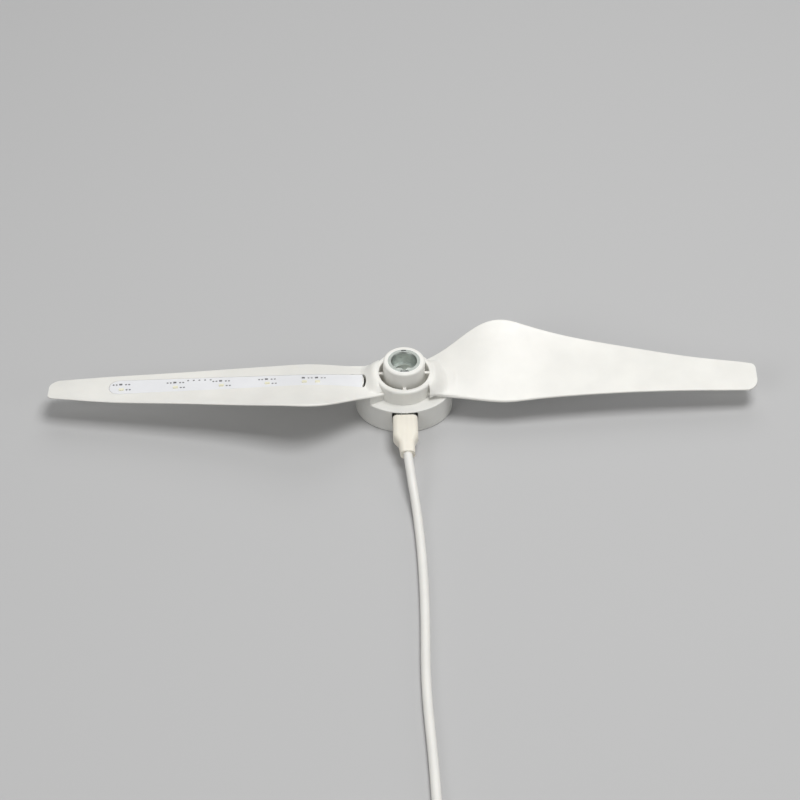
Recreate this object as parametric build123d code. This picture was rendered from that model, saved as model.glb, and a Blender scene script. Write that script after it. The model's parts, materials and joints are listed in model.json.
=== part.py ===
"""Two-blade propeller of 9.4 inch span with light boards in its blades and a rechargeable battery pod.

It stands on the pod with its motor side up, and a charging lead is plugged into the pod.
Millimetres, +Z up along the hub's axis, +X along one blade, and the charging port faces -Y.
The origin is the middle of the pod's flat bottom. The blades are the same, half a turn apart.
"""
from build123d import *
import math
import os

os.makedirs("parts", exist_ok=True)

# ---- driving dimensions -------------------------------------------------------------------
SPAN = 238.8

# Blade stations from the hub to past the tip: distance along X, then Y and Z of the trailing
# edge, Y and Z of the leading edge, and the greatest thickness.
STATIONS = [
    (6.0, 7.0, 12.4, -5.9, 10.9, 3.2),
    (13.0, 10.5, 13.8, -6.7, 10.6, 3.1),
    (19.0, 14.1, 16.1, -7.5, 10.3, 2.9),
    (26.0, 18.1, 18.6, -8.6, 10.1, 2.7),
    (33.0, 19.6, 19.7, -9.3, 9.9, 2.5),
    (40.0, 18.4, 18.9, -8.9, 10.0, 2.3),
    (52.0, 15.6, 16.6, -7.8, 10.3, 2.1),
    (66.0, 13.0, 14.8, -6.8, 10.3, 1.9),
    (86.0, 9.9, 12.7, -5.8, 10.0, 1.8),
    (104.0, 7.3, 11.4, -5.3, 9.4, 1.7),
    (124.0, 4.1, 9.9, -4.5, 8.6, 1.5),
]
CAMBER = 0.035
NOSE_SHARE = 0.42
TAIL_SHARE = 0.28
TIP_LEAD_CORNER = 4.4
TIP_TRAIL_CORNER = 2.0
TIP_LENGTH = 18.0

RING_R = 10.2
RING_INNER_R = 8.4
RING_TOP = 15.3
RING_FLOOR_TOP = 10.0
BOSS_R = 7.0
BOSS_TOP = 20.4
RIB = 1.1
RIM_FILLET = 0.35
RING_FILLET = 0.8
BOSS_FILLET = 0.7

# The flare from the ring down to the blades: where it ends if it met nothing, how far it falls,
# over what difference in height it eases into a blade, how it sinks into the blade, how thick
# its lip is past the blade's nose and where that lip starts and rolls over, how near the
# trailing edge it fades out, and its edge in plan beside the nose.
FLARE_R = 16.6
FLARE_DROP = 5.2
FLARE_EASE = 1.8
FLARE_SINK = 0.04
FLARE_UNDER = 0.7
FLARE_LIP = 1.7
FLARE_LIP_Y = -6.0
FLARE_ROLL = 1.0
FLARE_ROLL_Y = -5.6
FLARE_FADE = 3.5
FLARE_EDGE = [(8.2, -5.5), (8.5, -8.15), (11.0, -7.6), (13.1, -7.2)]
FLARE_END_X = 18.0

FLANGE_R = 5.45
FLANGE = 1.0
INSERT_R = 4.8
COUNTERBORE_R = 4.0
COUNTERBORE_FLOOR = 15.8
COUNTERBORE_CHAMFER = 0.4
BORE_R = 3.0
BORE_BOTTOM = 11.0
KEY_CHORD = 3.05
KEY_NOTCH_R = 1.0
FRONT_SLOT = 3.0
BACK_SLOT = 1.8
SLOT_THICK = 0.45
SLOT_AT = 4.95

POD_A = 16.4
POD_B = 13.6
SHELF = 9.5
WALL = 1.2
COVER = 1.2
SEAM = 0.14
LIP = 0.8
LID = 1.2

LIGHT_BOARD_WIDE = 7.0
LIGHT_BOARD_THICK = 0.55
LIGHT_BOARD_Y = 1.95
LIGHT_BOARD_SLANT = -0.014
LIGHT_BOARD_ROOT = 14.0
LIGHT_BOARD_TIP = 99.0
RECESS = 0.6
RECESS_GAP = 0.12
WIRE_SLOT_X = 13.1
WIRE_SLOT_THICK = 0.75
WIRE_SLOT_BEND = 7.0
WIRE_R = 0.22
WIRE_DEPTH = 1.2
LIGHT_GROUPS_AT = (29.0, 33.4, 45.8, 61.2, 76.6, 94.8)

BOARD_TOP = SHELF - LID
BOARD_THICK = 0.8
BOARD_UNDER = BOARD_TOP - BOARD_THICK
POD_SCREW_X = 11.7
POD_SCREW_R = 0.8
POD_SCREW_TOP = 12.4
COVER_SCREW_AT = (11.6, 5.6)
COVER_SCREW_R = 0.7

BUTTON_Y = 9.2
BUTTON_R = 2.3
BUTTON_RECESS = 0.5

SOCKET_WIDE = 7.5
SOCKET_HIGH = 2.45
SOCKET_LONG = 5.0
SOCKET_SHEET = 0.25
SOCKET_MOUTH_Y = -13.2
SOCKET_Z = BOARD_UNDER - SOCKET_HIGH / 2
WINDOW_WIDE = 8.7
WINDOW_HIGH = 5.6

PLUG_WIDE = 8.4
PLUG_HIGH = 5.3
PLUG_START_Y = -13.95
PLUG_LONG = 7.8
PLUG_TAPER = 4.0
RELIEF_LONG = 4.05
RELIEF_START = (5.4, 4.3)
RELIEF_END = (4.9, 3.9)
RELIEF_BEND = 0.5
PLUG_SHELL = (6.85, 1.8)
PLUG_SHELL_LONG = 4.9

CORD_D = 3.0
COIL_CENTRE = (-12.5, -187.5)
COIL_R = 16.5
COIL_TURNS = 3.25
COIL_BUNDLE = 2 * CORD_D + 0.2
COIL_CORNER = 1.4

USB_A_X = -42.5
USB_A_Y = COIL_CENTRE[1] - COIL_R - 3.5
USB_A_GRIP = (22.0, 15.6, 8.0)
USB_A_RELIEF = 9.0
USB_A_SHELL = (12.0, 12.0, 4.5)
USB_A_SHEET = 0.3

RELIEF_END_Y = PLUG_START_Y - PLUG_LONG - PLUG_TAPER - RELIEF_LONG
LAID = CORD_D / 2

# The lead's route from the plug's strain relief down to the surface and on to the coil.
ROUTE = [
    (RELIEF_BEND, RELIEF_END_Y, SOCKET_Z),
    (1.2, -38.5, SOCKET_Z),
    (2.9, -50.5, LAID),
    (4.0, -70.0, LAID),
    (4.2, -93.0, LAID),
    (3.3, -121.0, LAID),
    (4.9, -150.0, LAID),
    (COIL_CENTRE[0] + COIL_R + 1.5, -180.0, LAID),
]
# The lead's other end, from the top of the coil to the plug at its far end.
TAIL = [
    (COIL_CENTRE[0] - 3.0, COIL_CENTRE[1] - COIL_R - 1.2, 1.5 * CORD_D),
    (COIL_CENTRE[0] - 12.0, COIL_CENTRE[1] - COIL_R - 1.7, 4.4),
    (COIL_CENTRE[0] - 21.0, USB_A_Y, 4.0),
    (USB_A_X, USB_A_Y, 4.0),
]


# ---- helpers ------------------------------------------------------------------------------
def save(node, *shapes):
    """Write one node, as one solid or as a group of separate solids."""
    solids = [s for shape in shapes for s in shape.solids()]
    whole = solids[0] if len(solids) == 1 else Compound(children=solids)
    whole.label = node
    export_step(whole, f"parts/{node}.step")
    return whole


def disc(radius, low, high, x=0.0, y=0.0):
    return Pos(x, y, low) * extrude(Circle(radius), high - low)


def oval(shrink, low, high):
    """The pod's plan, drawn in by a distance all round."""
    return Pos(0, 0, low) * extrude(Ellipse(POD_A - shrink, POD_B - shrink), high - low)


def block(x, y, z, wide, deep, high):
    """A box by its middle in plan and its lowest height."""
    return Pos(x, y, z) * Box(wide, deep, high, align=(Align.CENTER, Align.CENTER, Align.MIN))


def half_turn(shape):
    return Rot(0, 0, 180) * shape


def facing_front(x, y, z):
    """A plane whose normal is -Y, with its own x along +X and its own y up."""
    return Plane((x, y, z), x_dir=(1, 0, 0), z_dir=(0, -1, 0))


def facing_left(x, y, z):
    """A plane whose normal is -X, with its own y up."""
    return Plane((x, y, z), x_dir=(0, -1, 0), z_dir=(-1, 0, 0))


# ---- blade shape --------------------------------------------------------------------------
def station_at(x):
    """The blade's station at a distance along X, between the listed ones."""
    for low, high in zip(STATIONS, STATIONS[1:]):
        if x <= high[0]:
            break
    share = (x - low[0]) / (high[0] - low[0])
    return tuple(a + share * (b - a) for a, b in zip(low, high))


def blade_point(station, share, side):
    """A point of the section, from 0 at the leading edge to 1 at the trailing edge.

    side is 1 for the face that is up, -1 for the other and 0 for the middle line.
    """
    x, trail_y, trail_z, lead_y, lead_z, thick = station
    along = Vector(0, trail_y - lead_y, trail_z - lead_z)
    normal = Vector(0, -along.Z, along.Y).normalized()
    sag = -4 * CAMBER * along.length * share * (1 - share)
    fullness = NOSE_SHARE + (1 - NOSE_SHARE) * math.sin(min(share / 0.35, 1) * math.pi / 2)
    if share > 0.35:
        fullness = 1 - (1 - TAIL_SHARE) * ((share - 0.35) / 0.65) ** 1.5
    offset = sag + side * fullness * thick / 2
    return Vector(x, lead_y, lead_z) + along * share + normal * offset


def blade_section(station):
    along = (blade_point(station, 1, 0) - blade_point(station, 0, 0)).normalized()
    thick = station[5]
    shares = (0.0, 0.12, 0.35, 0.68, 1.0)
    top = [blade_point(station, s, 1) for s in shares]
    under = [blade_point(station, s, -1) for s in shares]
    nose = blade_point(station, 0, 0) - along * (NOSE_SHARE * thick / 2)
    tail = blade_point(station, 1, 0) + along * (TAIL_SHARE * thick / 2)
    edges = [
        Spline(*top),
        ThreePointArc(top[-1], tail, under[-1]),
        Spline(*reversed(under)),
        ThreePointArc(under[0], nose, top[0]),
    ]
    return Face(Wire(edges))


def edge_in_plan(x, side):
    """Y of the blade's leading (-1) or trailing (1) edge, with its rounded end."""
    station = station_at(x)
    if side > 0:
        return station[1] + TAIL_SHARE * station[5] / 2
    return station[3] - NOSE_SHARE * station[5] / 2


def tip_outline():
    """A prism that cuts the blade off at its tip, with both corners rounded."""
    end = SPAN / 2
    wide = 40.0
    start = end - TIP_LENGTH
    corners = Polyline(
        (0, -wide),
        (start, -wide),
        (start, edge_in_plan(start, -1) - 0.3),
        (end, edge_in_plan(end, -1)),
        (end, edge_in_plan(end, 1)),
        (start, edge_in_plan(start, 1) + 0.3),
        (start, wide),
        (0, wide),
        close=True,
    )
    plan = make_face(corners)
    for low_y, radius in ((True, TIP_LEAD_CORNER), (False, TIP_TRAIL_CORNER)):
        at_end = plan.vertices().filter_by(lambda v: abs(v.X - end) < 0.001)
        corner = at_end.sort_by(Axis.Y)[0 if low_y else -1]
        plan = fillet(corner, radius)
    return extrude(plan, 60)


def make_blade():
    return loft([blade_section(s) for s in STATIONS]) & tip_outline()


# ---- light boards -------------------------------------------------------------------------
def light_board_y(x):
    """The board lies slightly aslant, so its middle line is further forward towards the tip."""
    return LIGHT_BOARD_Y + LIGHT_BOARD_SLANT * x


def light_frame(x, side):
    """Where the light board's face lies at a distance along X: its own z points out of the face."""
    station = station_at(x)
    lead_y, trail_y = station[3], station[1]
    share = (light_board_y(x) - lead_y) / (trail_y - lead_y)
    here = blade_point(station, share, side)
    across = blade_point(station, share + 0.15, side) - blade_point(station, share - 0.15, side)
    out = Vector(0, -across.Z, across.Y).normalized() * side
    return Plane(here, x_dir=(1, 0, 0), z_dir=out)


def light_slab(low, high, side):
    """A slab that follows the blade's face, between two heights above it."""
    sections = []
    for x, *_ in STATIONS:
        frame = light_frame(x, side)
        edge_on = Plane(frame.origin, x_dir=frame.y_dir, z_dir=(1, 0, 0))
        up = edge_on.y_dir.dot(frame.z_dir)
        middle = (low + high) / 2 * up
        strip = Pos(0, middle) * Rectangle(LIGHT_BOARD_WIDE + 4, high - low)
        sections.append((edge_on * strip).face())
    return loft(sections)


def light_plan(gap):
    """The board's outline in plan, square at the root and rounded at the tip."""
    wide = LIGHT_BOARD_WIDE + 2 * gap
    end = LIGHT_BOARD_TIP - LIGHT_BOARD_WIDE / 2
    straight = Rectangle(end - LIGHT_BOARD_ROOT, wide, align=(Align.MIN, Align.CENTER))
    outline = Pos(LIGHT_BOARD_ROOT, 0) * straight + Pos(end, 0) * Circle(wide / 2)
    slant = math.degrees(math.atan(LIGHT_BOARD_SLANT))
    return Pos(0, LIGHT_BOARD_Y) * Rot(0, 0, slant) * extrude(outline, 60)


def make_light_board(side):
    top = LIGHT_BOARD_THICK - RECESS
    return light_slab(-RECESS, top, side) & light_plan(0)


def light_recess(side):
    return light_slab(-RECESS, 2.5, side) & light_plan(RECESS_GAP)


def face_of_board(board, x, side):
    """The middle of the board's outer face at a distance along X, as a plane on that face."""
    cut = board & Plane((x, 0, 0), x_dir=(0, 1, 0), z_dir=(1, 0, 0))
    long_edges = cut.edges().filter_by(lambda e: e.length > LIGHT_BOARD_WIDE / 2)
    edge = long_edges.sort_by(Axis.Z)[-1 if side > 0 else 0]
    across = edge.position_at(1) - edge.position_at(0)
    across = across * (1 if across.Y > 0 else -1)
    out = Vector(0, -across.Z, across.Y).normalized() * side
    return Plane(edge.position_at(0.5), x_dir=(1, 0, 0), z_dir=out)


def on_light_board(board, x, y, side, wide, deep, high):
    """A small part soldered to the board's face, cut to the face so that it sits flat on it."""
    frame = face_of_board(board, x, side)
    part = frame * Pos(0, y * side, high / 2 - 0.1) * Box(wide, deep, high + 0.2)
    return max((part - board).solids(), key=lambda solid: solid.volume)


def make_lights(board, side):
    return [on_light_board(board, x, 1.5, side, 1.6, 0.9, 0.4) for x in LIGHT_GROUPS_AT]


def make_resistors(board, side):
    return [on_light_board(board, x + 0.4, -1.3, side, 1.0, 0.5, 0.3) for x in LIGHT_GROUPS_AT]


def make_light_wires(side):
    """Three short wires from the board's root end, down through the bowed slot to the control board."""
    top = light_frame(WIRE_SLOT_X, side).origin.Z - side * WIRE_DEPTH
    middle_y = light_board_y(WIRE_SLOT_X)
    wires = []
    for y in (-2.0, 0.0, 2.0):
        bow = WIRE_SLOT_BEND - math.sqrt(WIRE_SLOT_BEND ** 2 - y ** 2)
        wires.append(disc(WIRE_R, BOARD_TOP, top, WIRE_SLOT_X + bow, middle_y + y))
    return wires


# ---- propeller ----------------------------------------------------------------------------
def wire_slot(low, high):
    """A slot across the board's root end, bowed towards the hub."""
    middle = WIRE_SLOT_X + WIRE_SLOT_BEND
    middle_y = light_board_y(WIRE_SLOT_X)
    inner_r = WIRE_SLOT_BEND - WIRE_SLOT_THICK / 2
    bow = disc(inner_r + WIRE_SLOT_THICK, low, high, middle, middle_y)
    bow -= disc(inner_r, low - 1, high + 1, middle, middle_y)
    return bow & block(WIRE_SLOT_X, middle_y, low, 3, LIGHT_BOARD_WIDE - 0.2, high - low)


def insert_pocket():
    return (
        disc(FLANGE_R, BOSS_TOP - FLANGE, BOSS_TOP + 1)
        + disc(INSERT_R, BORE_BOTTOM, BOSS_TOP)
    )


def make_boss():
    boss = disc(BOSS_R, SHELF, BOSS_TOP)
    rim = boss.edges().filter_by(GeomType.CIRCLE).group_by(Axis.Z)[-1]
    boss = fillet(rim, BOSS_FILLET)
    return boss - insert_pocket()


def make_ribs():
    length = RING_INNER_R - BOSS_R + 1.2
    middle = (RING_INNER_R + BOSS_R) / 2
    rib = block(middle, 0, SHELF, length, RIB, RING_TOP - 0.5 - SHELF)
    ribs = [Rot(0, 0, turn) * rib for turn in (0, 90, 180, 270)]
    return [r - insert_pocket() for r in ribs]


def blade_face_height(blade, x, y):
    """Height of the blade's upper face at a point, or at the nearest point well inside its plan."""
    x = max(x, STATIONS[0][0] + 0.5)
    inset = 1.2
    y = min(max(y, edge_in_plan(x, -1) + inset), edge_in_plan(x, 1) - inset)
    hits = blade.find_intersection_points(Axis((x, y, 0), (0, 0, 1)))
    return max(point.Z for point, _ in hits)


def flare_height(x, y):
    """The flare falls away from the ring, and again near the blade's two edges."""
    share = (math.hypot(x, y) - RING_R) / (FLARE_R - RING_R)
    share = min(max(share, 0), 1)
    fade = max(y - edge_in_plan(x, 1) + FLARE_FADE, 0)
    roll = max(FLARE_ROLL_Y - y, 0) * FLARE_ROLL
    return RING_TOP - FLARE_DROP * share ** 2 * (3 - 2 * share) - fade - roll


def flare_under_height(x, y, blade_z):
    """The flare stands in the blade, but is only a lip where it reaches past the blade's nose."""
    if y > FLARE_LIP_Y:
        return blade_z - FLARE_UNDER
    lip = eased(flare_height(x, y), blade_z - FLARE_SINK) - FLARE_LIP
    return max(blade_z - FLARE_UNDER, lip)


def eased(one, other):
    """The greater of two heights, rounded where they are nearly the same."""
    near = max(FLARE_EASE - abs(one - other), 0) / FLARE_EASE
    return max(one, other) + near ** 2 * FLARE_EASE / 4


def root_grid(blade):
    """Places over the blade's root in rows along Y, each with the blade's own height there."""
    rows = []
    for step_x in range(10):
        x = 3.0 + 1.9 * step_x
        row = [(x, y, blade_face_height(blade, x, y)) for y in range(-12, 17, 2)]
        rows.append(row)
    return rows


def smooth_face(grid, height):
    """A smooth face through a grid of places, at the height that the given rule makes of each."""
    points = [[Vector(x, y, height(x, y, z)) for x, y, z in row] for row in grid]
    return Face.make_surface_from_array_of_points(points, tol=0.005)


def make_fairing(blade):
    """The flare that carries the ring's rim smoothly down to one blade's upper face."""
    grid = root_grid(blade)
    top = smooth_face(grid, lambda x, y, z: eased(flare_height(x, y), z - FLARE_SINK))
    under = smooth_face(grid, flare_under_height)
    trail = [(x, edge_in_plan(x, 1) - 0.9) for x in (FLARE_END_X, 12.0, 7.2)]
    nose = [*FLARE_EDGE, (FLARE_END_X, edge_in_plan(FLARE_END_X, -1) + 0.5)]
    plan = make_face(Polyline(*nose, *trail, close=True))
    flare = extrude(plan, 40) - disc(RING_R - 0.6, 0, 60)
    flare -= extrude(top, 40, dir=(0, 0, 1))
    flare -= extrude(under, 40, dir=(0, 0, -1))
    return max(flare.solids(), key=lambda solid: solid.volume)


def make_propeller(blade):
    one_side = blade + make_fairing(blade)
    ring = disc(RING_R, SHELF, RING_TOP)
    ring = fillet(ring.edges().group_by(Axis.Z)[-1], RING_FILLET)
    hub = one_side + half_turn(one_side) + Rot(0, 0, 90) * ring
    hub -= disc(RING_INNER_R, RING_FLOOR_TOP, 40)
    rim = hub.edges().filter_by(GeomType.CIRCLE)
    rim = rim.filter_by(lambda e: abs(e.center().Z - RING_TOP) < 0.01 and e.radius < RING_R - 1)
    hub = hub.fillet(RIM_FILLET, rim)
    hub -= disc(BOSS_R - 0.5, 0, 40)
    hub += make_boss()
    for rib in make_ribs():
        hub += rib
    hub -= half_turn(light_recess(1)) + half_turn(wire_slot(0, 40))
    hub -= light_recess(-1) + wire_slot(0, light_frame(WIRE_SLOT_X, -1).origin.Z + WIRE_DEPTH)
    for x in (-POD_SCREW_X, POD_SCREW_X):
        hub -= disc(POD_SCREW_R, 0, POD_SCREW_TOP + 0.2, x)
    return hub


def make_insert():
    profile = Polyline(
        (BORE_R, BORE_BOTTOM),
        (INSERT_R, BORE_BOTTOM),
        (INSERT_R, BOSS_TOP - FLANGE),
        (FLANGE_R, BOSS_TOP - FLANGE),
        (FLANGE_R, BOSS_TOP),
        (COUNTERBORE_R + COUNTERBORE_CHAMFER, BOSS_TOP),
        (COUNTERBORE_R, BOSS_TOP - COUNTERBORE_CHAMFER),
        (COUNTERBORE_R, COUNTERBORE_FLOOR),
        (BORE_R, COUNTERBORE_FLOOR),
        close=True,
    )
    insert = revolve(Plane.XZ * make_face(profile), Axis.Z)
    key = disc(COUNTERBORE_R + 0.3, BOSS_TOP - 1.6, BOSS_TOP - COUNTERBORE_CHAMFER)
    key -= block(0, 10 - KEY_CHORD, 0, 20, 20, 40)
    key -= disc(KEY_NOTCH_R, 0, 40, 0, -KEY_CHORD)
    insert += key
    for y, wide in ((-SLOT_AT, FRONT_SLOT), (SLOT_AT, BACK_SLOT)):
        insert -= block(0, y, BOSS_TOP - 0.8, wide, SLOT_THICK, 3)
    return insert


# ---- pod ----------------------------------------------------------------------------------
def make_saddle(blade):
    """The part of the pod's wall that rises under a blade's root to the blade's lower face."""
    inner_x = 6.9
    outer_x = POD_A + 1
    outline = Polyline(
        (inner_x, edge_in_plan(inner_x, -1) + 0.5),
        (outer_x, edge_in_plan(outer_x, -1) + 0.5),
        (outer_x, edge_in_plan(outer_x, 1) - 0.8),
        (inner_x, edge_in_plan(inner_x, 1) - 0.5),
        close=True,
    )
    column = extrude(make_face(outline), 40) & oval(0, SHELF, 40)
    column -= disc(RING_R, 0, 60)
    return min((column - blade).solids(), key=lambda piece: piece.center().Z)


def corner_places():
    across, along = COVER_SCREW_AT
    return [(x, y) for x in (-across, across) for y in (-along, along)]


def make_pod_case(blade):
    case = oval(0, COVER, SHELF)
    case = fillet(case.edges().group_by(Axis.Z)[-1], 0.3)
    case = chamfer(case.edges().group_by(Axis.Z)[0], SEAM)
    saddle = make_saddle(blade)
    case += saddle
    case += half_turn(saddle)
    case -= oval(WALL, COVER, BOARD_TOP)
    for x, y in corner_places():
        case += disc(1.5, COVER + LIP + 0.1, BOARD_TOP, x, y) & oval(0.3, 0, 20)
        case -= disc(COVER_SCREW_R, COVER, 6.5, x, y)
    window = extrude(RectangleRounded(WINDOW_WIDE, WINDOW_HIGH, 0.6), 6)
    case -= facing_front(0, SOCKET_MOUTH_Y + 1.8, SOCKET_Z) * window
    for x in (-POD_SCREW_X, POD_SCREW_X):
        case -= disc(POD_SCREW_R + 0.1, 0, 20, x)
    case -= wire_slot(0, 20) + half_turn(wire_slot(0, 20))
    case -= light_plan(RECESS_GAP) & light_slab(-RECESS, 0.1, -1)
    return case


def make_base_cover():
    cover = oval(0, 0, COVER)
    cover = fillet(cover.edges().group_by(Axis.Z)[0], 0.45)
    cover = chamfer(cover.edges().group_by(Axis.Z)[-1], SEAM)
    lip = oval(WALL + 0.05, COVER, COVER + LIP) - oval(WALL + 0.85, 0, 20)
    cover += lip
    for x, y in corner_places():
        cover -= disc(COVER_SCREW_R + 0.1, 0, COVER, x, y)
        cover -= disc(1.35, 0, 0.6, x, y)
        cover -= disc(1.7, COVER, 5, x, y)
    cover -= disc(BUTTON_R + 0.15, 0, COVER, 0, BUTTON_Y)
    cover -= disc(BUTTON_R + 0.9, COVER, 5, 0, BUTTON_Y)
    return cover


def make_cover_screws():
    screws = []
    for x, y in corner_places():
        head = disc(1.25, 0.1, 0.6, x, y)
        head -= block(x, y, 0, 0.3, 1.5, 0.35) + block(x, y, 0, 1.5, 0.3, 0.35)
        screws.append(head + disc(COVER_SCREW_R, 0.6, 5.6, x, y))
    return screws


def make_pod_screws():
    screws = []
    for x in (-POD_SCREW_X, POD_SCREW_X):
        head = disc(1.4, BOARD_UNDER - 1.0, BOARD_UNDER, x)
        head -= block(x, 0, 0, 0.35, 1.8, BOARD_UNDER - 0.6)
        head -= block(x, 0, 0, 1.8, 0.35, BOARD_UNDER - 0.6)
        screws.append(head + disc(POD_SCREW_R, BOARD_UNDER, POD_SCREW_TOP, x))
    return screws


# ---- inside the pod -----------------------------------------------------------------------
CELL = (20.0, 13.6, 3.6)
CELL_Y = -0.8
CELL_Z = COVER + 0.3


def make_cell():
    pouch = block(0, CELL_Y, CELL_Z, *CELL)
    return fillet(pouch.edges().filter_by(Axis.X), 0.8)


def make_foam_tape():
    return block(0, CELL_Y, COVER, 16, 10, CELL_Z - COVER)


def make_cell_leads():
    leads = []
    for y in (-2.3, 2.3):
        path = FilletPolyline(
            (CELL[0] / 2, y, CELL_Z + 1.8),
            (CELL[0] / 2 + 1.3, y, CELL_Z + 1.8),
            (CELL[0] / 2 + 1.3, y, BOARD_UNDER),
            radius=0.7,
        )
        start = Plane((CELL[0] / 2, y, CELL_Z + 1.8), x_dir=(0, 1, 0), z_dir=(1, 0, 0))
        leads.append(sweep(start * Circle(0.35), path))
    return leads


def make_control_board():
    board = oval(2.1, BOARD_UNDER, BOARD_TOP)
    board -= block(0, -POD_B, 0, SOCKET_WIDE + 2, 3.6, 20)
    for x, y in corner_places():
        board -= disc(1.8, 0, 20, x, y)
    for x in (-POD_SCREW_X, POD_SCREW_X):
        board -= disc(POD_SCREW_R + 0.1, 0, 20, x)
    return board


def under_board(x, y, wide, deep, high):
    return block(x, y, BOARD_UNDER - high, wide, deep, high)


def make_passives():
    places = [(-5.2, 9.2), (-7.4, 7.6), (5.4, 9.0), (7.6, 7.4), (-5.4, -10.2), (5.6, -10.0)]
    return [under_board(x, y, 1.6, 0.8, 0.6) for x, y in places]


def chamfered_bar(wide, high, corner):
    """The micro connector's outline: flat on top, with its two lower corners cut off."""
    with BuildSketch() as outline:
        with BuildLine():
            Polyline(
                (-wide / 2, high / 2),
                (wide / 2, high / 2),
                (wide / 2, corner - high / 2),
                (wide / 2 - corner, -high / 2),
                (corner - wide / 2, -high / 2),
                (-wide / 2, corner - high / 2),
                (-wide / 2, high / 2),
            )
        make_face()
    return outline.sketch


def make_socket_shell():
    outer = chamfered_bar(SOCKET_WIDE, SOCKET_HIGH, 0.8)
    inner = chamfered_bar(SOCKET_WIDE - 2 * SOCKET_SHEET, SOCKET_HIGH - 2 * SOCKET_SHEET, 0.7)
    back = facing_front(0, SOCKET_MOUTH_Y + SOCKET_LONG, SOCKET_Z)
    shell = back * extrude(outer, SOCKET_LONG)
    return shell - facing_front(0, SOCKET_MOUTH_Y + SOCKET_LONG - 0.3, SOCKET_Z) * extrude(inner, SOCKET_LONG)


def make_socket_tongue():
    back = SOCKET_MOUTH_Y + SOCKET_LONG - 0.3
    return block(0, back - 1.6, SOCKET_Z + 0.2, 3.7, 3.2, 0.4)


def make_switch_body():
    body = block(0, BUTTON_Y, BOARD_UNDER - 2.4, 4.2, 4.2, 2.4)
    return body - disc(1.15, 0, BOARD_UNDER - 1.2, 0, BUTTON_Y)


def make_switch_plunger():
    return disc(1.0, BOARD_UNDER - 3.0, BOARD_UNDER - 1.7, 0, BUTTON_Y)


def make_button():
    cap = disc(BUTTON_R, BUTTON_RECESS, COVER + 0.1, 0, BUTTON_Y)
    cap = fillet(cap.edges().filter_by(GeomType.CIRCLE).group_by(Axis.Z)[0], 0.3)
    flange = disc(BUTTON_R + 0.55, COVER + 0.05, COVER + 0.65, 0, BUTTON_Y)
    return cap + flange + disc(1.0, COVER + 0.6, BOARD_UNDER - 3.0, 0, BUTTON_Y)


# ---- charging lead ------------------------------------------------------------------------
def make_micro_shell():
    outer = chamfered_bar(*PLUG_SHELL, 0.65)
    inner = chamfered_bar(PLUG_SHELL[0] - 0.4, PLUG_SHELL[1] - 0.4, 0.55)
    tube = extrude(outer, PLUG_SHELL_LONG) - extrude(inner, PLUG_SHELL_LONG)
    return facing_front(0, PLUG_START_Y + PLUG_SHELL_LONG, SOCKET_Z) * tube


def make_micro_core():
    return block(0, PLUG_START_Y + 2.2, SOCKET_Z - PLUG_SHELL[1] / 2 + 0.2, 4.6, 4.4, 0.55)


def make_micro_grip():
    """The plug's moulded grip: a rounded bar that necks down to the strain relief round the lead."""
    def ring_at(y, wide, high, corner, x=0.0):
        return facing_front(x, y, SOCKET_Z) * RectangleRounded(wide, high, corner)

    neck_y = PLUG_START_Y - PLUG_LONG
    relief_y = neck_y - PLUG_TAPER
    body = extrude(ring_at(PLUG_START_Y, PLUG_WIDE, PLUG_HIGH, 1.7), PLUG_LONG)
    neck = loft([
        ring_at(neck_y, PLUG_WIDE, PLUG_HIGH, 1.7),
        ring_at(neck_y - PLUG_TAPER * 0.35, PLUG_WIDE - 0.55, PLUG_HIGH - 0.15, 1.7),
        ring_at(neck_y - PLUG_TAPER * 0.7, PLUG_WIDE - 2.0, PLUG_HIGH - 0.6, 1.65, 0.1),
        ring_at(relief_y, *RELIEF_START, 1.6, 0.25),
    ])
    relief = loft([
        ring_at(relief_y, *RELIEF_START, 1.6, 0.25),
        ring_at(RELIEF_END_Y, *RELIEF_END, 1.5, RELIEF_BEND),
    ])
    return body + neck + relief


def bend_radii(points):
    """The largest arcs that the runs beside each corner leave room for."""
    radii = []
    for before, here, after in zip(points, points[1:], points[2:]):
        arriving = Vector(*here) - Vector(*before)
        leaving = Vector(*after) - Vector(*here)
        half_angle = math.radians(arriving.get_angle(leaving)) / 2
        shorter = min(arriving.length, leaving.length)
        radii.append(0.45 * shorter / math.tan(half_angle))
    return radii


def make_tube(name, points):
    radii = bend_radii(points)
    path = FilletPolyline(*points, radius=radii)
    start = Plane(path.position_at(0), z_dir=path.tangent_at(0))
    tube = sweep(start * Circle(CORD_D / 2), path)
    expected = math.pi * CORD_D ** 2 / 4 * path.length
    print(name, "length", round(path.length, 1), "radii", [round(r, 1) for r in radii])
    print(name, "volume over section times length", round(tube.volume / expected, 4))
    return tube, path.length


def make_coil():
    """The outer shape of the wound turns, a ring of rounded-square section."""
    bundle = RectangleRounded(COIL_BUNDLE, COIL_BUNDLE, COIL_CORNER)
    section = Plane.XZ * Pos(COIL_R, COIL_BUNDLE / 2) * bundle
    return Pos(*COIL_CENTRE, 0) * revolve(section, Axis.Z)


def make_tie():
    """A flat band round the turns, let into them so that it's flush with the surface below."""
    band = block(COIL_CENTRE[0] - COIL_R, COIL_CENTRE[1], 0, COIL_BUNDLE + 0.8, 4.0, COIL_BUNDLE + 0.4)
    band = fillet(band.edges().filter_by(Axis.Y), 1.2)
    core = block(
        COIL_CENTRE[0] - COIL_R, COIL_CENTRE[1], 0.4, COIL_BUNDLE - 0.4, 4.0, COIL_BUNDLE - 0.8
    )
    core = fillet(core.edges().filter_by(Axis.Y), 1.2)
    return band - core


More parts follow.
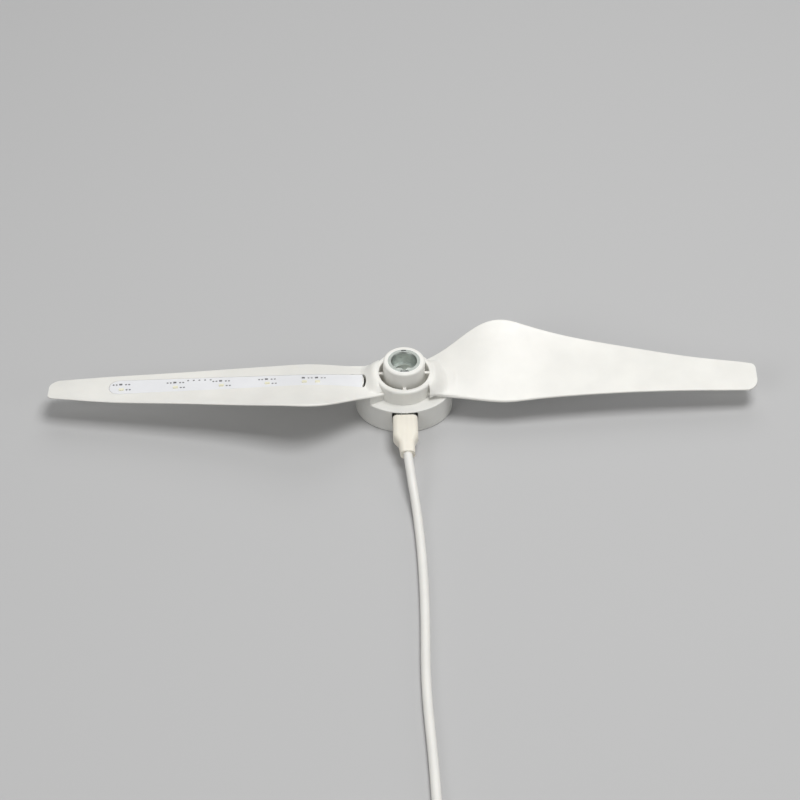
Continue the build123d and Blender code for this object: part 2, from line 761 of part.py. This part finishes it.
def make_usb_a_grip():
    """The far plug's moulded grip, with its tapered strain relief."""
    def ring_at(x, wide, high, corner):
        return facing_left(x, USB_A_Y, 4.0) * RectangleRounded(wide, high, corner)

    grip_x = USB_A_X - USB_A_RELIEF
    relief = loft([ring_at(USB_A_X, 4.6, 4.2, 1.8), ring_at(grip_x, 6.6, 5.4, 2.0)])
    body = extrude(ring_at(grip_x, USB_A_GRIP[1], USB_A_GRIP[2], 2.0), USB_A_GRIP[0])
    ends = [e for e in body.edges() if abs(e.center().X - grip_x) < 0.01]
    return fillet(ends, 0.9) + relief


USB_A_FACE_X = USB_A_X - USB_A_RELIEF - USB_A_GRIP[0]


def make_usb_a_shell():
    long, wide, high = USB_A_SHELL
    face = facing_left(USB_A_FACE_X, USB_A_Y, 4.0)
    outer = extrude(RectangleRounded(wide, high, 0.4), long)
    inner = extrude(RectangleRounded(wide - 2 * USB_A_SHEET, high - 2 * USB_A_SHEET, 0.2), long)
    return face * (outer - inner)


def make_usb_a_core():
    long, wide, _ = USB_A_SHELL
    middle_x = USB_A_FACE_X - (long - 0.6) / 2
    return block(middle_x, USB_A_Y, 4.0 - 1.95, long - 0.6, wide - 2 * USB_A_SHEET - 0.5, 1.8)


def make_usb_a_contacts():
    long = USB_A_SHELL[0]
    top = 4.0 - 1.95 + 1.8
    middle_x = USB_A_FACE_X - long / 2
    return [block(middle_x, USB_A_Y + y, top, long - 3, 1.0, 0.12) for y in (-3.5, -1.0, 1.0, 3.5)]


# ---- make and save every node -------------------------------------------------------------
blade = make_blade()
propeller = make_propeller(blade)
save("propeller", propeller)
save("threaded_insert", make_insert())

for name, side, turn in (("left", 1, 180), ("right", -1, 0)):
    board = make_light_board(side)
    place = Rot(0, 0, turn)
    save(f"{name}_light_board", place * board)
    save(f"{name}_lights", *[place * s for s in make_lights(board, side)])
    save(f"{name}_resistors", *[place * s for s in make_resistors(board, side)])
    save(f"{name}_light_wires", *[place * s for s in make_light_wires(side)])

save("pod_case", make_pod_case(blade))
save("base_cover", make_base_cover())
save("cover_screws", *make_cover_screws())
save("pod_screws", *make_pod_screws())
save("battery_cell", make_cell())
save("foam_tape", make_foam_tape())
save("battery_leads", *make_cell_leads())
save("control_board", make_control_board())
save("charge_chip", under_board(-6.6, -8.4, 3.0, 1.7, 1.1))
save("light_controller", under_board(7.0, 3.0, 5.0, 4.0, 1.4))
save("small_components", *make_passives())
save("status_light", under_board(-6.6, 3.5, 1.6, 0.8, 0.7))
save("charge_socket_shell", make_socket_shell())
save("charge_socket_tongue", make_socket_tongue())
save("switch_body", make_switch_body())
save("switch_plunger", make_switch_plunger())
save("power_button", make_button())

save("micro_plug_shell", make_micro_shell())
save("micro_plug_core", make_micro_core())
save("micro_plug_grip", make_micro_grip())
lead, lead_long = make_tube("charge_cord", ROUTE)
save("charge_cord", lead)
tail, tail_long = make_tube("cord_tail", TAIL)
save("cord_tail", tail)
coil = make_coil()
tie = make_tie()
save("cord_coil", coil - tie)
save("cord_tie", tie)
save("usb_a_grip", make_usb_a_grip())
save("usb_a_shell", make_usb_a_shell())
save("usb_a_core", make_usb_a_core())
save("usb_a_contacts", *make_usb_a_contacts())

coil_long = COIL_TURNS * 2 * math.pi * COIL_R
print("whole lead", round(lead_long + coil_long + tail_long), "mm between its plugs")
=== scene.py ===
"""Looks of the light-up propeller on its battery pod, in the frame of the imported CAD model."""
import bmesh
import bpy
import json
import math
from mathutils import Matrix, Vector


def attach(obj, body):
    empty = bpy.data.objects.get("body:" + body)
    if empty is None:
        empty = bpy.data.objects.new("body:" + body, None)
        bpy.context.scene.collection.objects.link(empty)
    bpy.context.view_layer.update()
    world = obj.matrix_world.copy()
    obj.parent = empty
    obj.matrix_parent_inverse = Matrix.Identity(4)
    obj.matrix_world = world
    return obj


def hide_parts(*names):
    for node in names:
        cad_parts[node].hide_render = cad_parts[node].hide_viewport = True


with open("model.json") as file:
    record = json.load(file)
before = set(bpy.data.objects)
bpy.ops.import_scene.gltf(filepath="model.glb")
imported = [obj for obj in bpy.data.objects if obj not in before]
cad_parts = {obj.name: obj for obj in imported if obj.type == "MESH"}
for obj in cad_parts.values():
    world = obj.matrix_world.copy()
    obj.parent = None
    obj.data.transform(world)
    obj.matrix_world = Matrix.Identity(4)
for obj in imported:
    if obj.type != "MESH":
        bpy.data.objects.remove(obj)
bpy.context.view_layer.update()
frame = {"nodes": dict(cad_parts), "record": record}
MM = 0.001
scene = bpy.context.scene

# ---- shared dimensions, in millimetres, as in the CAD source --------------------------------
LIGHT_BOARD_Y = 1.95
LIGHT_BOARD_SLANT = -0.014
LIGHT_GROUPS_AT = (29.0, 33.4, 45.8, 61.2, 76.6, 94.8)
LIGHT_ROW_Y = 1.5
RESISTOR_ROW_Y = -1.3
BOSS_TOP = 20.4
SOCKET_Z = 6.275
CORD_D = 3.0
LAID = CORD_D / 2
COIL_CENTRE = (-12.5, -187.5)
COIL_R = 16.5
COIL_TURNS = 3.25
COIL_STEP = 1.55
POINTS_A_TURN = 16
USB_A_X = -42.5
USB_A_Y = -207.5
ROUTE = [
    (0.5, -29.8, SOCKET_Z),
    (1.2, -38.5, SOCKET_Z),
    (2.9, -50.5, LAID),
    (4.0, -70.0, LAID),
    (4.2, -93.0, LAID),
    (3.3, -121.0, LAID),
    (4.9, -150.0, LAID),
    (5.5, -180.0, LAID),
]
TAIL = [
    (-15.5, -205.2, 4.5),
    (-24.5, -205.7, 4.4),
    (-33.5, -207.5, 4.0),
    (USB_A_X, USB_A_Y, 4.0),
]

# The pads: their size, and where their rows start beside a light and along the board.
PAD_SIZE = (0.65, 0.6, 0.03)
PAD_STEP = 1.05
BEFORE_RESISTOR = -2.4
PAST_RESISTOR = 1.8
BEFORE_LIGHT = -2.8
WIDE_ROW_X = 65.0
WIDE_ROW_Y = -2.3
WIDE_ROW_STEP = 1.9
WIDE_ROW_COUNT = 5
ABOVE_ALL = 60.0

# The finishes' own dimensions. A wave texture repeats every WAVE_LENGTH at a scale of 1.
WAVE_LENGTH = math.tau / 20
THREAD_PITCH = 0.8
GROOVE_STEP = 1.7
# Below FLANGE_LOW the insert's bore is painted lighter, and above it the flange is painted darker, for
# the light on each.
FLANGE_LOW = 20.0
# Past SLOTS_FROM_R, below the flange's face, the insert's slots get painted shade.
SLOTS_FROM_R = 4.5

# The camera's distance in metres, lens in millimetres, angles in degrees and shift.
CAMERA_DISTANCE = 0.703
CAMERA_LENS = 92.9
CAMERA_TURN = 1.5
CAMERA_HEIGHT = 45
CAMERA_SHIFT = (-0.005, 0.0049)

# Each light's name, place in metres, width in metres and power in watts. All face the hub.
LIGHTS = (
    ("key", (0.20, -0.05, 0.95), 0.45, 6.2),
    ("side", (0.80, -0.50, 0.35), 0.4, 0.9),
    ("front_left", (-0.55, -0.55, 0.55), 0.4, 1.5),
    ("back", (0.05, 0.75, 0.78), 0.7, 2.2),
)
ROOM_LIGHT = 0.22
FLOOR_HALF = 3.0
FLOOR_SHADE = 0.50


# ---- camera --------------------------------------------------------------------------------
def make_camera():
    """Looks down at 45 degrees from the side of the charging port, a degree and a half off square."""
    turn = math.radians(CAMERA_TURN)
    height = math.radians(CAMERA_HEIGHT)
    level = math.cos(height)
    back = Vector((-math.sin(turn) * level, -math.cos(turn) * level, math.sin(height)))
    data = bpy.data.cameras.new("camera")
    data.lens = CAMERA_LENS
    data.shift_x, data.shift_y = CAMERA_SHIFT
    data.clip_start = 0.01
    data.clip_end = 20.0
    camera = bpy.data.objects.new("camera", data)
    camera.location = back * CAMERA_DISTANCE
    camera.rotation_euler = (math.radians(90) - height, 0.0, -turn)
    scene.collection.objects.link(camera)
    scene.camera = camera


# ---- the charging lead -----------------------------------------------------------------------
def between(share, low, high):
    """A smooth step from 0 to 1 as share goes from low to high."""
    t = min(max((share - low) / (high - low), 0.0), 1.0)
    return t * t * (3 - 2 * t)


def coil_points():
    """The turns: round outside, in beside the first turn, up on to it, and out over the first again."""
    spread = 1 / (0.75 + 0.25 * math.cos(2 * math.pi / POINTS_A_TURN))
    points = []
    for step in range(1, round(COIL_TURNS * POINTS_A_TURN)):
        turn = step / POINTS_A_TURN
        inwards = between(turn, 0.80, 0.97) - between(turn, 2.66, 2.82)
        radius = COIL_R + COIL_STEP - 2 * COIL_STEP * inwards
        height = LAID + 0.05 + 2 * COIL_STEP * between(turn, 1.64, 1.80)
        angle = -2 * math.pi * turn
        x = COIL_CENTRE[0] + radius * spread * math.cos(angle)
        y = COIL_CENTRE[1] + radius * spread * math.sin(angle)
        points.append((x, y, height))
    return points


def make_cord(jacket):
    points = ROUTE + coil_points() + TAIL
    curve = bpy.data.curves.new("charging_lead", "CURVE")
    curve.dimensions = "3D"
    curve.bevel_depth = CORD_D / 2 * MM
    curve.bevel_resolution = 6
    curve.resolution_u = 10
    curve.use_fill_caps = True
    spline = curve.splines.new("NURBS")
    spline.points.add(len(points) - 1)
    for place, point in zip(spline.points, points):
        place.co = (*(c * MM for c in point), 1.0)
    spline.order_u = 3
    spline.use_endpoint_u = True
    curve.materials.append(jacket)
    cord = bpy.data.objects.new("charging_lead", curve)
    scene.collection.objects.link(cord)
    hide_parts("charge_cord", "cord_coil", "cord_tail")
    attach(cord, "lead")


# ---- test pads on the light board ------------------------------------------------------------
def board_spot(board, x, y):
    """A place on the left board's face and the face's normal there, or None past the board's edge.

    x is the distance from the hub and y the distance from the board's middle line.
    """
    middle_y = LIGHT_BOARD_Y + LIGHT_BOARD_SLANT * x
    start = Vector((-x, -(middle_y + y), ABOVE_ALL)) * MM
    hit, place, normal, _ = board.ray_cast(start, Vector((0, 0, -1)))
    return (place, normal) if hit else None


def add_pad(mesh, place, normal):
    """A thin pad, half sunk in the board's face."""
    turn = normal.to_track_quat("Z", "X").to_matrix().to_4x4()
    size = Matrix.Diagonal([c * MM for c in PAD_SIZE]).to_4x4()
    bmesh.ops.create_cube(mesh, size=1.0, matrix=Matrix.Translation(place) @ turn @ size)


def pad_places():
    """Short rows of pads by each light, and one wider row between two of the lights."""
    spaced_out = LIGHT_GROUPS_AT[2:]
    rows = [(x + BEFORE_RESISTOR, RESISTOR_ROW_Y, 2, PAD_STEP) for x in LIGHT_GROUPS_AT]
    rows += [(x + PAST_RESISTOR, RESISTOR_ROW_Y, 2, PAD_STEP) for x in spaced_out]
    rows += [(x + BEFORE_LIGHT, LIGHT_ROW_Y, 2, PAD_STEP) for x in spaced_out]
    rows.append((WIDE_ROW_X, WIDE_ROW_Y, WIDE_ROW_COUNT, WIDE_ROW_STEP))
    return [(x + step * number, y) for x, y, count, step in rows for number in range(count)]


def make_pads(finish):
    board = frame["nodes"]["left_light_board"]
    mesh = bmesh.new()
    for x, y in pad_places():
        spot = board_spot(board, x, y)
        if spot:
            add_pad(mesh, *spot)
    data = bpy.data.meshes.new("left_board_pads")
    mesh.to_mesh(data)
    mesh.free()
    data.materials.append(finish)
    pads = bpy.data.objects.new("left_board_pads", data)
    scene.collection.objects.link(pads)
    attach(pads, "body")


# ---- material helpers ------------------------------------------------------------------------
def start_material(name):
    material = bpy.data.materials.new(name)
    material.use_nodes = True
    return material, material.node_tree, material.node_tree.nodes["Principled BSDF"]


def add(tree, kind, **inputs):
    """A node with some of its inputs set, or joined where another node's output is given."""
    made = tree.nodes.new(kind)
    for label, value in inputs.items():
        socket = made.inputs[label.replace("_", " ")]
        if isinstance(value, bpy.types.NodeSocket):
            tree.links.new(value, socket)
        else:
            socket.default_value = value
    return made


def noise(tree, size_mm, detail=2.0, stretch=(1, 1, 1)):
    """Noise with features of about one size, in the frame's own coordinates."""
    place = tree.nodes.new("ShaderNodeTexCoord").outputs["Object"]
    scaled = tree.nodes.new("ShaderNodeMapping")
    scaled.inputs["Scale"].default_value = stretch
    tree.links.new(place, scaled.inputs["Vector"])
    scale = 1 / (size_mm * MM)
    pattern = add(tree, "ShaderNodeTexNoise", Vector=scaled.outputs[0], Scale=scale, Detail=detail)
    return pattern.outputs["Fac"]


def waves(tree, step_mm, direction):
    """Even bands across one axis of the frame."""
    place = tree.nodes.new("ShaderNodeTexCoord").outputs["Object"]
    scale = WAVE_LENGTH / (step_mm * MM)
    bands = add(tree, "ShaderNodeTexWave", Vector=place, Scale=scale)
    bands.bands_direction = direction
    return bands.outputs["Fac"]


def between_values(tree, factor, low, high):
    spread = add(tree, "ShaderNodeMapRange", Value=factor)
    spread.inputs["From Min"].default_value = 0.3
    spread.inputs["From Max"].default_value = 0.7
    spread.inputs["To Min"].default_value = low
    spread.inputs["To Max"].default_value = high
    return spread.outputs["Result"]


def mix(tree, factor, one, other):
    """Mixes two colours, given as three numbers or as another node's output."""
    mixer = tree.nodes.new("ShaderNodeMix")
    mixer.data_type = "RGBA"
    for socket, value in ((mixer.inputs[0], factor), (mixer.inputs[6], one), (mixer.inputs[7], other)):
        if isinstance(value, bpy.types.NodeSocket):
            tree.links.new(value, socket)
        elif isinstance(value, (int, float)):
            socket.default_value = value
        else:
            socket.default_value = (*value, 1.0)
    return mixer.outputs[2]


def bump(tree, shader, height, strength, depth_mm, under=None):
    """Relief on the shader's normal, over another relief if one is given."""
    relief = add(tree, "ShaderNodeBump", Height=height, Strength=strength, Distance=depth_mm * MM)
    if under is not None:
        tree.links.new(under, relief.inputs["Normal"])
    tree.links.new(relief.outputs["Normal"], shader.inputs["Normal"])
    return relief.outputs["Normal"]


def edges(tree, radius_mm):
    """1 along edges that stick out and 0 on flat faces."""
    rounded = tree.nodes.new("ShaderNodeBevel")
    rounded.samples = 4
    rounded.inputs["Radius"].default_value = radius_mm * MM
    true_normal = tree.nodes.new("ShaderNodeNewGeometry").outputs["Normal"]
    dot = tree.nodes.new("ShaderNodeVectorMath")
    dot.operation = "DOT_PRODUCT"
    tree.links.new(rounded.outputs["Normal"], dot.inputs[0])
    tree.links.new(true_normal, dot.inputs[1])
    mask = add(tree, "ShaderNodeMapRange", Value=dot.outputs["Value"])
    mask.inputs["From Min"].default_value = 0.97
    mask.inputs["From Max"].default_value = 0.80
    mask.inputs["To Min"].default_value = 0.0
    mask.inputs["To Max"].default_value = 1.0
    return mask.outputs["Result"]


# ---- materials -------------------------------------------------------------------------------
def plastic(name, colour, rough, grain_mm=0.25, grain=0.10, soft=0.0):
    """Moulded plastic: faint cloudiness, a fine grain, and a painted highlight that makes the edges a
    little brighter.
    """
    material, tree, shader = start_material(name)
    cloud = between_values(tree, noise(tree, 9.0, 3.0), 0.0, 1.0)
    body = mix(tree, cloud, [c * 0.94 for c in colour], colour)
    # Painted highlight: the edges are made a little lighter in colour.
    painted_edge_highlight = [min(c + 0.03, 0.95) for c in colour]
    tree.links.new(mix(tree, edges(tree, 0.25), body, painted_edge_highlight), shader.inputs["Base Color"])
    patches = between_values(tree, noise(tree, 3.0, 4.0), rough - 0.05, rough + 0.06)
    tree.links.new(patches, shader.inputs["Roughness"])
    bump(tree, shader, noise(tree, grain_mm, 3.0), grain, 0.02)
    shader.inputs["Specular IOR Level"].default_value = 0.5
    shader.inputs["Subsurface Weight"].default_value = soft
    shader.inputs["Subsurface Radius"].default_value = (0.0012, 0.0010, 0.0008)
    shader.inputs["Subsurface Scale"].default_value = 1.0
    return material


def grip_plastic():
    """Soft moulded grip with faint grooves along it."""
    material = plastic("ivory_grip", (0.84, 0.80, 0.70), 0.48, soft=0.08)
    tree = material.node_tree
    shader = tree.nodes["Principled BSDF"]
    under = shader.inputs["Normal"].links[0].from_socket
    bump(tree, shader, waves(tree, GROOVE_STEP, "X"), 0.35, 0.12, under)
    return material


def metal(name, colour, rough, lines_mm=0.10, lines=0.12):
    """Machined or drawn metal: fine parallel marks, uneven dullness and a painted highlight that
    brightens the edges.
    """
    material, tree, shader = start_material(name)
    cloud = between_values(tree, noise(tree, 2.5, 4.0), 0.0, 1.0)
    body = mix(tree, cloud, [c * 0.75 for c in colour], colour)
    # Painted highlight: the edges are made lighter in colour.
    bright = [min(c * 1.25, 0.95) for c in colour]
    tree.links.new(mix(tree, edges(tree, 0.15), body, bright), shader.inputs["Base Color"])
    patches = between_values(tree, noise(tree, 1.2, 4.0), rough - 0.06, rough + 0.10)
    tree.links.new(patches, shader.inputs["Roughness"])
    bump(tree, shader, noise(tree, lines_mm, 2.0, (1, 1, 14)), lines, 0.01)
    shader.inputs["Metallic"].default_value = 1.0
    return material


def height_mask(tree, low_mm, high_mm):
    """0 below one height in the frame and 1 above another."""
    place = tree.nodes.new("ShaderNodeTexCoord").outputs["Object"]
    split = add(tree, "ShaderNodeSeparateXYZ", Vector=place)
    mask = add(tree, "ShaderNodeMapRange", Value=split.outputs["Z"])
    mask.inputs["From Min"].default_value = low_mm * MM
    mask.inputs["From Max"].default_value = high_mm * MM
    return mask.outputs["Result"]


def painted_slot_shade_mask(tree):
    """1 inside the two slots of the insert's flange, where their shade is painted: outside the bore and
    below the flange's face.
    """
    place = tree.nodes.new("ShaderNodeTexCoord").outputs["Object"]
    flat = add(tree, "ShaderNodeVectorMath", Vector=place)
    flat.operation = "MULTIPLY"
    flat.inputs[1].default_value = (1, 1, 0)
    radius = tree.nodes.new("ShaderNodeVectorMath")
    radius.operation = "LENGTH"
    tree.links.new(flat.outputs["Vector"], radius.inputs[0])
    outside = add(tree, "ShaderNodeMath", Value=radius.outputs["Value"])
    outside.operation = "GREATER_THAN"
    outside.inputs[1].default_value = SLOTS_FROM_R * MM
    above = height_mask(tree, BOSS_TOP - 0.05, BOSS_TOP - 0.02)
    inside = add(tree, "ShaderNodeMath", Value=outside.outputs["Value"])
    inside.operation = "SUBTRACT"
    inside.use_clamp = True
    tree.links.new(above, inside.inputs[1])
    return inside.outputs["Value"]


def insert_metal():
    """Turned aluminium: a satin flange painted darker, painted shade in its slots, a bore painted lighter
    for the light inside it, and a painted highlight on the edges. Ridges run all the way up.
    """
    material, tree, shader = start_material("aluminium")
    cloud = between_values(tree, noise(tree, 2.5, 4.0), 0.0, 1.0)
    # Painted light and shade: the flange is painted darker and the bore lighter, to stand in for how
    # light falls on each.
    flange = mix(tree, cloud, (0.38, 0.41, 0.38), (0.46, 0.49, 0.46))
    bore = mix(tree, cloud, (0.56, 0.60, 0.57), (0.76, 0.80, 0.77))
    body = mix(tree, height_mask(tree, FLANGE_LOW - 0.3, FLANGE_LOW), bore, flange)
    # Painted shade: the slots are coloured near black.
    body = mix(tree, painted_slot_shade_mask(tree), body, (0.01, 0.01, 0.01))
    # Painted highlight: the edges are made nearly white.
    tree.links.new(mix(tree, edges(tree, 0.2), body, (0.93, 0.95, 0.93)), shader.inputs["Base Color"])
    patches = between_values(tree, noise(tree, 1.2, 4.0), 0.38, 0.52)
    tree.links.new(patches, shader.inputs["Roughness"])
    under = bump(tree, shader, noise(tree, 0.10, 2.0, (1, 1, 14)), 0.12, 0.01)
    bump(tree, shader, waves(tree, THREAD_PITCH, "Z"), 0.5, 0.12, under)
    shader.inputs["Metallic"].default_value = 1.0
    return material


MAKERS = {
    "white_moulding": lambda: plastic("white_moulding", (0.83, 0.82, 0.775), 0.34, soft=0.05),
    "aluminium": insert_metal,
    "white_board": lambda: plastic("white_board", (0.82, 0.825, 0.84), 0.42, grain_mm=0.15, grain=0.06),
    "light_package": lambda: plastic("light_package", (0.85, 0.82, 0.62), 0.30),
    "resistor": lambda: plastic("resistor", (0.16, 0.16, 0.165), 0.40),
    "black_wire": lambda: plastic("black_wire", (0.02, 0.02, 0.02), 0.40),
    "pod_plastic": lambda: plastic("pod_plastic", (0.76, 0.755, 0.72), 0.42, soft=0.05),
    "cover_plastic": lambda: plastic("cover_plastic", (0.76, 0.755, 0.72), 0.46, grain=0.16),
    "screw_steel": lambda: metal("screw_steel", (0.52, 0.52, 0.53), 0.30),
    "cell_foil": lambda: metal("cell_foil", (0.66, 0.66, 0.68), 0.28, lines_mm=1.2, lines=0.4),
    "foam": lambda: plastic("foam", (0.10, 0.10, 0.10), 0.85, grain_mm=0.2, grain=0.6),
    "green_board": lambda: plastic("green_board", (0.03, 0.16, 0.07), 0.38),
    "chip": lambda: plastic("chip", (0.025, 0.025, 0.027), 0.50, grain_mm=0.08, grain=0.25),
    "connector_steel": lambda: metal("connector_steel", (0.70, 0.70, 0.69), 0.24),
    "socket_plastic": lambda: plastic("socket_plastic", (0.03, 0.03, 0.03), 0.45),
    "switch_plastic": lambda: plastic("switch_plastic", (0.03, 0.03, 0.03), 0.45),
    "button_plastic": lambda: plastic("button_plastic", (0.76, 0.75, 0.72), 0.38),
    "ivory_grip": grip_plastic,
    "cord_jacket": lambda: plastic("cord_jacket", (0.82, 0.81, 0.77), 0.44, soft=0.08),
    "tie": lambda: plastic("tie", (0.66, 0.66, 0.63), 0.55, grain_mm=0.3, grain=0.4),
    "white_insulator": lambda: plastic("white_insulator", (0.80, 0.80, 0.78), 0.40),
    "contact": lambda: metal("contact", (0.83, 0.62, 0.24), 0.22),
}


def paint_nodes(materials):
    for part in frame["record"]["subparts"]:
        node = frame["nodes"][part["node"]]
        node.data.materials.clear()
        node.data.materials.append(materials[part["material_slot"]])


# ---- floor and light -------------------------------------------------------------------------
def make_floor():
    half = FLOOR_HALF
    mesh = bpy.data.meshes.new("floor")
    corners = [(-half, -half, 0), (half, -half, 0), (half, half, 0), (-half, half, 0)]
    mesh.from_pydata(corners, [], [(0, 1, 2, 3)])
    floor = bpy.data.objects.new("floor", mesh)
    scene.collection.objects.link(floor)
    material, _, shader = start_material("floor")
    shader.inputs["Base Color"].default_value = (FLOOR_SHADE, FLOOR_SHADE, FLOOR_SHADE, 1.0)
    shader.inputs["Roughness"].default_value = 0.9
    shader.inputs["Specular IOR Level"].default_value = 0.1
    mesh.materials.append(material)


def add_light(name, place, size, power):
    data = bpy.data.lights.new(name, "AREA")
    data.size = size
    data.energy = power
    light = bpy.data.objects.new(name, data)
    light.location = place
    light.rotation_euler = (-Vector(place)).to_track_quat("-Z", "Y").to_euler()
    scene.collection.objects.link(light)


def make_lights():
    for name, place, size, power in LIGHTS:
        add_light(name, place, size, power)
    world = bpy.data.worlds.new("room")
    world.use_nodes = True
    background = world.node_tree.nodes["Background"]
    background.inputs["Color"].default_value = (1.0, 1.0, 1.0, 1.0)
    background.inputs["Strength"].default_value = ROOM_LIGHT
    scene.world = world
    scene.view_settings.view_transform = "Standard"


# ---- the scene -------------------------------------------------------------------------------
make_camera()
materials = {name: make() for name, make in MAKERS.items()}
paint_nodes(materials)
make_cord(materials["cord_jacket"])
make_pads(materials["resistor"])
make_floor()
make_lights()
